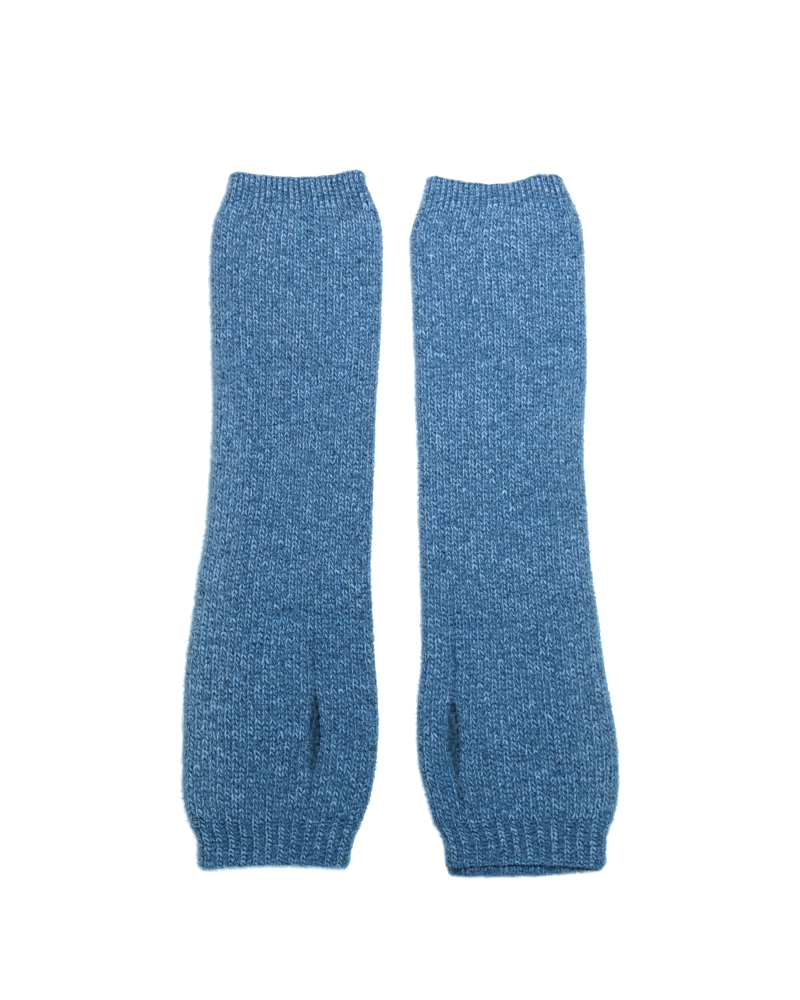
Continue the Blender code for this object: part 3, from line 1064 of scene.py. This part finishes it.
class KNITTING_OT_cloth(bpy.types.Operator):
    """Make the backing cloth of each warmer, all round its tube and cuffs"""

    bl_idname = "knitting.cloth"
    bl_label = "Backing cloth"

    def execute(self, context):
        sizes = context.scene.knit_sizes
        colours = context.scene.wool_colours
        # Painted shade: the backing cloth is near black where it shows between the stitches, and
        # the inside nearer black still
        backing = ready_material("wool_backing", shaded_wool_material, colours.deepest, BACKING)
        inside = ready_material("wool_inside", shaded_wool_material, colours.inside, INSIDE)
        last = TUBE_COURSES + FOREARM_RIB_COURSES
        ends = (-HAND_RIB_COURSES - HAND_CLOTH_FOLD, last + FOREARM_CLOTH_FOLD)
        starts = (-HAND_RIB_COURSES + CLOTH_HEM_START, last - CLOTH_HEM_START)
        rows = (ends[0], *starts, ends[1])
        for warmer in WARMERS:
            grid = bmesh.new()
            bmesh.ops.create_grid(
                grid, x_segments=2 * WALES, y_segments=CLOTH_ROWS, size=0.5
            )
            flat = np.array([vert.co[:] for vert in grid.verts])
            wale = (flat[:, 0] + 0.5) * WALES
            course = np.interp(flat[:, 1] + 0.5, CLOTH_SHARES, rows)
            side = np.where(wale < WALES / 2, 1.0, -1.0)
            to_hem = np.minimum(course + HAND_RIB_COURSES, last - course)
            full = ease(to_hem / CLOTH_HEM_FADE)
            depth = sizes.cloth_depth * (CLOTH_HEM_SHARE + (1.0 - CLOTH_HEM_SHARE) * full)
            made, _ = knit_place(warmer, wale, course, depth, side)
            for vert, point in zip(grid.verts, made):
                vert.co = point
            bmesh.ops.remove_doubles(grid, verts=grid.verts, dist=WELD)
            bmesh.ops.recalc_face_normals(grid, faces=grid.faces)
            mesh = bpy.data.meshes.new(warmer.name)
            grid.to_mesh(mesh)
            grid.free()
            piece = show_piece(warmer.name + "_knit_cloth", mesh, backing)
            wall = piece.modifiers.new("wall", "SOLIDIFY")
            wall.thickness = sizes.cloth_thickness
            wall.offset = -1.0
            mesh.materials.append(inside)
            wall.material_offset = 1
            nodes = [warmer.name + part for part in ("_forearm_cuff", "_tube", "_hand_cuff")]
            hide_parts(*nodes)
        return {"FINISHED"}


class KNITTING_OT_stitches(bpy.types.Operator):
    """Knit the plain stitches of both tubes, finer above and coarser underneath"""

    bl_idname = "knitting.stitches"
    bl_label = "Plain stitches"

    def execute(self, context):
        wool = ready_material("wool_plain", wool_material)
        courses = (0, TUBE_COURSES)
        for warmer in WARMERS:
            first, last = under_wales(warmer)
            layers = (
                ("_upper_stitches", FINE_RINGS, (last, WALES - last + first, 1), 1.0),
                ("_under_stitches", COARSE_RINGS, (first, last - first, 1), UNDER_SQUASH),
            )
            for label, rings, wales, squash in layers:
                name = warmer.name + label
                lay_stitches(
                    name, warmer, PLAIN_LEGS, rings, wales, courses, wool, squash
                )
        return {"FINISHED"}


class KNITTING_OT_ribs(bpy.types.Operator):
    """Knit the ribbed cuffs: knit columns on the crests and purl bumps in the furrows"""

    bl_idname = "knitting.ribs"
    bl_label = "Ribbed cuffs"

    def execute(self, context):
        wool = ready_material("wool_rib", wool_material)
        hand = (-int(HAND_RIB_COURSES), int(HAND_RIB_COURSES))
        forearm = (TUBE_COURSES, int(FOREARM_RIB_COURSES))
        knit = (0, WALES // 2, 2)
        purl = (1, WALES // 2, 2)
        columns = (
            ("_hand_knit_columns", HAND_KNIT_LEGS, knit, hand),
            ("_hand_purl_columns", HAND_PURL_LEGS, purl, hand),
            ("_forearm_knit_columns", FOREARM_KNIT_LEGS, knit, forearm),
            ("_forearm_purl_columns", FOREARM_PURL_LEGS, purl, forearm),
        )
        for warmer in WARMERS:
            for label, legs, wales, courses in columns:
                name = warmer.name + label
                rings = COARSE_RINGS if "purl" in label else FINE_RINGS
                lay_stitches(name, warmer, legs, rings, wales, courses, wool)
        return {"FINISHED"}


class KNITTING_OT_edges(bpy.types.Operator):
    """Roll the cast-on and bind-off stitches over the mouths of the cuffs"""

    bl_idname = "knitting.edges"
    bl_label = "Cast-on and bind-off edges"

    def execute(self, context):
        wool = ready_material("wool_rib", wool_material)
        courses = 1 + HEM_FOLD_COURSES
        rows = (
            ("hand", -HAND_RIB_COURSES - courses),
            ("forearm", TUBE_COURSES + FOREARM_RIB_COURSES),
        )
        around = (0, WALES, 1)
        for warmer in WARMERS:
            for cuff, first in rows:
                name = warmer.name + "_" + cuff + "_rolled_edge"
                span = (first, courses)
                lay_stitches(
                    name, warmer, EDGE_LEGS, COARSE_RINGS, around, span, wool
                )
        return {"FINISHED"}


class KNITTING_OT_slits(bpy.types.Operator):
    """Bind both lips of each thumb slit with slanted stitches"""

    bl_idname = "knitting.slits"
    bl_label = "Slit edging"

    def execute(self, context):
        wool = ready_material("wool_plain", wool_material)
        for warmer in WARMERS:
            first = course_at(warmer.slit.bottom * MM)
            last = course_at(warmer.slit.top * MM)
            rows = (first - LIP_BELOW, last - first + LIP_BELOW + LIP_ABOVE)
            lips = (("right", RIGHT_LIP_LEGS, 0), ("left", LEFT_LIP_LEGS, WALES - 1))
            for side, legs, wale in lips:
                name = warmer.name + "_slit_" + side + "_edging"
                wales = (wale, 1, 1)
                lay_stitches(name, warmer, legs, FINE_RINGS, wales, rows, wool)
        return {"FINISHED"}


def fibre_shape(segments):
    """One thin closed fibre, 1 long up +Z, with a point at its end."""
    shape = bmesh.new()
    bmesh.ops.create_cone(
        shape, cap_ends=True, segments=3, radius1=1.0, radius2=0.0, depth=1.0
    )
    bmesh.ops.translate(shape, verts=shape.verts, vec=(0.0, 0.0, 0.5))
    sides = [edge for edge in shape.edges if abs(edge.verts[0].co.z - edge.verts[1].co.z) > 0.5]
    if segments > 1:
        bmesh.ops.subdivide_edges(shape, edges=sides, cuts=segments - 1)
    return shape


# Loose fibres of one kind: how many segments each has, the usual length and radius, how
# steeply they stand up and how much that varies, how far they turn from the lengthways
# direction, how curly they are and the tone of the darkest of them
Fibres = namedtuple("Fibres", "segments length radius lift lift_spread turn curl lowest_tone")

LYING = Fibres(1, 2.2 * MM, 0.100 * MM, 0.10, 0.08, 1.0, 0.0, 0.0)
CURLY = Fibres(2, 3.2 * MM, 0.055 * MM, 0.25, 0.30, 3.2, 0.30, 0.0)
FOLD = Fibres(1, 2.2 * MM, 0.100 * MM, 1.05, 0.40, 3.2, 0.0, 0.0)
HEM = Fibres(1, 1.5 * MM, 0.095 * MM, 0.9, 0.4, 3.2, 0.0, 0.66)
STRAY = Fibres(7, 11.0 * MM, 0.045 * MM, 0.20, 0.18, 3.2, 0.35, 0.0)

# How deep all fibres are rooted, how much their length and thickness vary, how much of
# their curl goes upwards, a short way along the wale, and the heights that hold them
ROOT_DEPTH = 0.30 * MM
LENGTH_SPREAD = 0.35
CURL_UP = 0.4
COURSE_STEP = 0.05
TINY = 1e-12
THINNEST, THICKNESS_SPREAD = 0.7, 0.6
LOWEST_FIBRE, HIGHEST_FIBRE = 0.1 * MM, 12.0 * MM

# Where fibres are rooted, in wales and courses
ALL_COURSES = HAND_RIB_COURSES + TUBE_COURSES + FOREARM_RIB_COURSES
UPPER_MARGIN = 1.5
FOLD_OUTER_SHARE = 0.55
FOLD_INWARDS, FOLD_OUTWARDS = 1.1, 0.25
FLANK_COURSES = 0.75 * TUBE_COURSES
FLANK_START, FLANK_REACH, FLANK_CROWDING = 0.2, 6.0, 1.5
HEM_HAND_SHARE = 0.52
HEM_ROOT_REACH, HEM_ROOT_INSIDE, HEM_ROOT_FURTHER = 1.2, 0.45, 1.5
HEMS_APART = 1.0 * MM
LIP_SPREAD = 0.12
LIP_ROOTS_BELOW, LIP_ROOTS_ABOVE = 2, 4


def lay_fibres(name, warmer, kind, wale, course, material, seed):
    """Loose fibres rooted at the given wales and courses."""
    count = len(wale)
    chance = np.random.default_rng(seed)
    shape = fibre_shape(kind.segments)
    per_fibre = len(shape.verts)
    mesh = array_mesh(shape, count, 1)
    points = points_of(mesh).reshape(count, per_fibre, 3)
    points[:, :, 0] -= np.arange(count)[:, None]
    side = np.where(np.mod(wale, WALES) < WALES / 2, 1.0, -1.0)

    def place(further, depth):
        return knit_place(warmer, wale, course + further, np.full(count, depth), side)[0]

    root = place(0.0, ROOT_DEPTH)
    outwards = place(0.0, 0.0) - place(0.0, 1.0 * MM)
    lengthways = place(COURSE_STEP, ROOT_DEPTH) - root
    outwards /= np.linalg.norm(outwards, axis=1, keepdims=True) + TINY
    lengthways /= np.linalg.norm(lengthways, axis=1, keepdims=True) + TINY
    sideways = np.cross(lengthways, outwards)

    heading = kind.turn * (2.0 * chance.random(count) - 1.0)
    heading += math.pi * (chance.random(count) < 0.5)
    lift = np.abs(kind.lift + kind.lift_spread * chance.standard_normal(count))
    flat = np.cos(heading)[:, None] * lengthways + np.sin(heading)[:, None] * sideways
    ahead = np.cos(lift)[:, None] * flat + np.sin(lift)[:, None] * outwards
    bend = kind.curl * chance.standard_normal((count, 3))
    bend[:, 2] *= CURL_UP
    long = kind.length * np.exp(LENGTH_SPREAD * chance.standard_normal(count))
    thick = kind.radius * (THINNEST + THICKNESS_SPREAD * chance.random(count))

    across = np.cross(ahead, outwards + 1e-6)
    across /= np.linalg.norm(across, axis=1, keepdims=True) + TINY
    over = np.cross(across, ahead)
    up = points[:, :, 2]
    centre = root[:, None, :] + (ahead * long[:, None])[:, None, :] * up[:, :, None]
    centre += (bend * long[:, None])[:, None, :] * (up**2)[:, :, None]
    skin = points[:, :, 0, None] * across[:, None, :] + points[:, :, 1, None] * over[:, None, :]
    made = centre + skin * thick[:, None, None]
    made[:, :, 2] = np.clip(made[:, :, 2], LOWEST_FIBRE, HIGHEST_FIBRE)
    set_points(mesh, made.reshape(-1, 3))
    tone = kind.lowest_tone + (1.0 - kind.lowest_tone) * chance.random(count)
    # Painted light and shade from the same marks as on the stitches
    tone += marked(warmer.nap, root[:, 0], root[:, 1])
    add_tone(mesh, "tone", np.repeat(tone, per_fibre))
    return show_piece(name, mesh, material)


def upper_roots(warmer, count, chance):
    """Roots spread evenly over the upper face and the folds."""
    first, last = under_wales(warmer)
    reach = WALES - last + first + 2.0 * UPPER_MARGIN
    wale = last - UPPER_MARGIN + chance.random(count) * reach
    return wale, chance.random(count) * (ALL_COURSES - 0.5) - HAND_RIB_COURSES


def beside_fold(warmer, course, on_right, inwards):
    """Wales at a distance inside the right or the left fold, at the given courses."""
    still = np.zeros(len(course))
    along = course_place(warmer, still, course, still)[0]
    right_edge, left_edge = fold_wales(warmer, along)
    return np.where(on_right, right_edge - inwards, left_edge + inwards)


def outer_is_right(warmer):
    """Whether the warmer's outer side is its right one."""
    return warmer.sections[0].left > 0.0


def fold_roots(warmer, count, chance):
    """Roots along the two folds, where the outline shows, and a little inside it."""
    course = chance.random(count) * ALL_COURSES - HAND_RIB_COURSES
    outer = chance.random(count) < FOLD_OUTER_SHARE
    inwards = FOLD_INWARDS * np.abs(chance.standard_normal(count)) - FOLD_OUTWARDS
    return beside_fold(warmer, course, outer == outer_is_right(warmer), inwards), course


def flank_roots(warmer, count, chance):
    """Roots inside the outer fold, along the tube's hand half."""
    course = chance.random(count) * FLANK_COURSES
    inwards = FLANK_START + FLANK_REACH * chance.random(count) ** FLANK_CROWDING
    return beside_fold(warmer, course, outer_is_right(warmer), inwards), course


def hem_roots(warmer, count, chance):
    """Roots round the forearm hem and the hand hem, more on the latter's lower layer."""
    right_edge, left_edge = fold_wales(warmer, np.array([HAND_RIB_TOP]))
    at_hand = chance.random(count) < HEM_HAND_SHARE
    past = HEM_ROOT_REACH * chance.random(count) - HEM_ROOT_INSIDE
    further = HEM_ROOT_FURTHER * chance.random(count)
    share = chance.random(count)
    under = left_edge + share * (right_edge - left_edge)
    over = left_edge + share * (right_edge + WALES - left_edge)
    apart = hem_place(warmer.hand_hem, share) - hem_place(warmer.hand_hem_under, share)
    lips = np.where((chance.random(count) < 0.5) & (apart < HEMS_APART), over, under)
    past = np.where(at_hand & (apart >= HEMS_APART), past + further, past)
    wale = np.where(at_hand, lips, chance.random(count) * WALES)
    last = TUBE_COURSES + FOREARM_RIB_COURSES
    return wale, np.where(at_hand, -HAND_RIB_COURSES - past, last + past)


def lip_roots(warmer, count, chance):
    """Roots along both lips of the thumb slit."""
    first = course_at(warmer.slit.bottom * MM) - LIP_ROOTS_BELOW
    last = course_at(warmer.slit.top * MM) + LIP_ROOTS_ABOVE
    wale = np.abs(LIP_SPREAD * chance.standard_normal(count))
    wale = np.where(chance.random(count) < 0.5, wale, WALES - wale - 0.01)
    return wale, first + chance.random(count) * (last - first)


class KNITTING_OT_halo(bpy.types.Operator):
    """Raise the soft halo of loose fibres, with a few long stray ones"""

    bl_idname = "knitting.halo"
    bl_label = "Wool halo"

    def execute(self, context):
        halo = context.scene.halo_sizes
        colours = context.scene.wool_colours
        loose = ready_material("wool_fibres", fibre_material, colours.teal, colours.halo)
        # The fringe fibres are painted paler as sheen along the folds, and the hem fibres as
        # light on fibres in shade
        edging = ready_material("wool_fringe", fibre_material, colours.halo, colours.fringe)
        hem = ready_material("wool_hem", fibre_material, colours.teal, colours.palest)
        kinds = (
            ("lying_fibres", LYING, halo.lying, upper_roots, loose),
            ("curly_fibres", CURLY, halo.curly, upper_roots, loose),
            ("fold_fibres", FOLD, halo.folds, fold_roots, edging),
            ("flank_fibres", LYING, halo.flanks, flank_roots, loose),
            ("hem_fibres", HEM, halo.hems, hem_roots, hem),
            ("stray_fibres", STRAY, halo.strays, upper_roots, loose),
            ("slit_fibres", CURLY, halo.slit, lip_roots, loose),
        )
        seed = context.scene.knit_sizes.seed
        for warmer in WARMERS:
            for label, kind, count, roots, wool in kinds:
                seed += 1
                wale, course = roots(warmer, count, np.random.default_rng(seed + 100))
                name = warmer.name + "_" + label
                lay_fibres(name, warmer, kind, wale, course, wool, seed)
        return {"FINISHED"}


class KNITTING_OT_declare(bpy.types.Operator):
    """Read each warmer's side edges and fold heights along its length, and do nothing more with
    them
    """

    bl_idname = "knitting.declare"
    bl_label = "Declare the knitting"

    def execute(self, context):
        for warmer in WARMERS:
            along = np.linspace(-173.0 * MM, 173.0 * MM, 60)
            left, right, _, fold = read_sections(warmer, along)
        return {"FINISHED"}


def aim_at(thing, target):
    """Turn a lamp or camera towards a point."""
    thing.rotation_euler = (Vector(target) - thing.location).to_track_quat("-Z", "Y").to_euler()


FLOOR_COLOUR = (0.93, 0.93, 0.93, 1.0)
FLOOR_DROP = 0.05 * MM
SKY_COLOUR = (0.84, 0.94, 1.0, 1.0)
KEY_PLACE = (0.11, 0.25, 0.53)
KEY_TARGET = (0.0, 0.05, 0.0)
KEY_ACROSS = 0.3
CAMERA_SIDE = -0.5 * MM
SENSOR_WIDTH = 36.0


class KNITTING_OT_stage(bpy.types.Operator):
    """Set up the pale floor, the soft studio light and the camera straight above"""

    bl_idname = "knitting.stage"
    bl_label = "Floor, light and camera"

    def execute(self, context):
        stage = context.scene.stage_sizes
        scene = context.scene
        shape = bmesh.new()
        bmesh.ops.create_grid(shape, x_segments=1, y_segments=1, size=stage.floor_side / 2.0)
        bmesh.ops.translate(shape, verts=shape.verts, vec=(0.0, 0.0, -FLOOR_DROP))
        mesh = bpy.data.meshes.new("floor")
        shape.to_mesh(mesh)
        shape.free()
        material, shader, _, _ = new_material("pale_floor", 0.9, 0.1)
        shader.inputs["Base Color"].default_value = FLOOR_COLOUR
        shader.inputs["Emission Color"].default_value = (*WHITE, 1.0)
        shader.inputs["Emission Strength"].default_value = stage.floor_glow
        mesh.materials.append(material)
        floor = bpy.data.objects.new("floor", mesh)
        scene.collection.objects.link(floor)

        lamp = bpy.data.lights.new("soft_key", "AREA")
        lamp.shape = "DISK"
        lamp.size = KEY_ACROSS
        lamp.energy = stage.key_power
        key = bpy.data.objects.new("soft_key", lamp)
        key.location = KEY_PLACE
        aim_at(key, KEY_TARGET)
        scene.collection.objects.link(key)

        world = bpy.data.worlds.new("studio")
        world.use_nodes = True
        sky = world.node_tree.nodes["Background"]
        sky.inputs["Color"].default_value = SKY_COLOUR
        sky.inputs["Strength"].default_value = stage.sky_strength
        scene.world = world
        scene.view_settings.view_transform = "Standard"

        lens = bpy.data.cameras.new("overhead")
        lens.lens = stage.lens
        lens.sensor_width = SENSOR_WIDTH
        lens.dof.use_dof = False
        camera = bpy.data.objects.new("overhead", lens)
        camera.location = (CAMERA_SIDE, stage.camera_shift, stage.camera_height)
        scene.collection.objects.link(camera)
        scene.camera = camera
        return {"FINISHED"}


STEPS = (
    KNITTING_OT_cloth,
    KNITTING_OT_stitches,
    KNITTING_OT_ribs,
    KNITTING_OT_edges,
    KNITTING_OT_slits,
    KNITTING_OT_halo,
    KNITTING_OT_declare,
    KNITTING_OT_stage,
)


class KNITTING_PT_panel(bpy.types.Panel):
    """The sidebar panel that lists the sizes and the steps"""

    bl_idname = "KNITTING_PT_panel"
    bl_label = "Knitted arm warmers"
    bl_space_type = "VIEW_3D"
    bl_region_type = "UI"
    bl_category = "Knitting"

    def draw(self, context):
        for name, group in GROUPS:
            box = self.layout.box()
            for key in group.__annotations__:
                box.prop(getattr(context.scene, name), key)
        for step in STEPS:
            self.layout.operator(step.bl_idname)


GROUPS = (
    ("knit_sizes", KnitSizes),
    ("halo_sizes", HaloSizes),
    ("wool_colours", WoolColours),
    ("stage_sizes", StageSizes),
)


def register():
    """Register the classes and put the sizes on the scene."""
    for _, group in GROUPS:
        bpy.utils.register_class(group)
    for step in STEPS:
        bpy.utils.register_class(step)
    bpy.utils.register_class(KNITTING_PT_panel)
    for name, group in GROUPS:
        setattr(bpy.types.Scene, name, bpy.props.PointerProperty(type=group))


def unregister():
    """Take the sizes off the scene and the classes away."""
    for name, _ in GROUPS:
        delattr(bpy.types.Scene, name)
    bpy.utils.unregister_class(KNITTING_PT_panel)
    for step in reversed(STEPS):
        bpy.utils.unregister_class(step)
    for _, group in reversed(GROUPS):
        bpy.utils.unregister_class(group)


def main():
    """Build the whole pair and its stage."""
    register()
    bpy.ops.knitting.cloth()
    bpy.ops.knitting.stitches()
    bpy.ops.knitting.ribs()
    bpy.ops.knitting.edges()
    bpy.ops.knitting.slits()
    bpy.ops.knitting.halo()
    bpy.ops.knitting.declare()
    bpy.ops.knitting.stage()


if __name__ == "__main__":
    main()
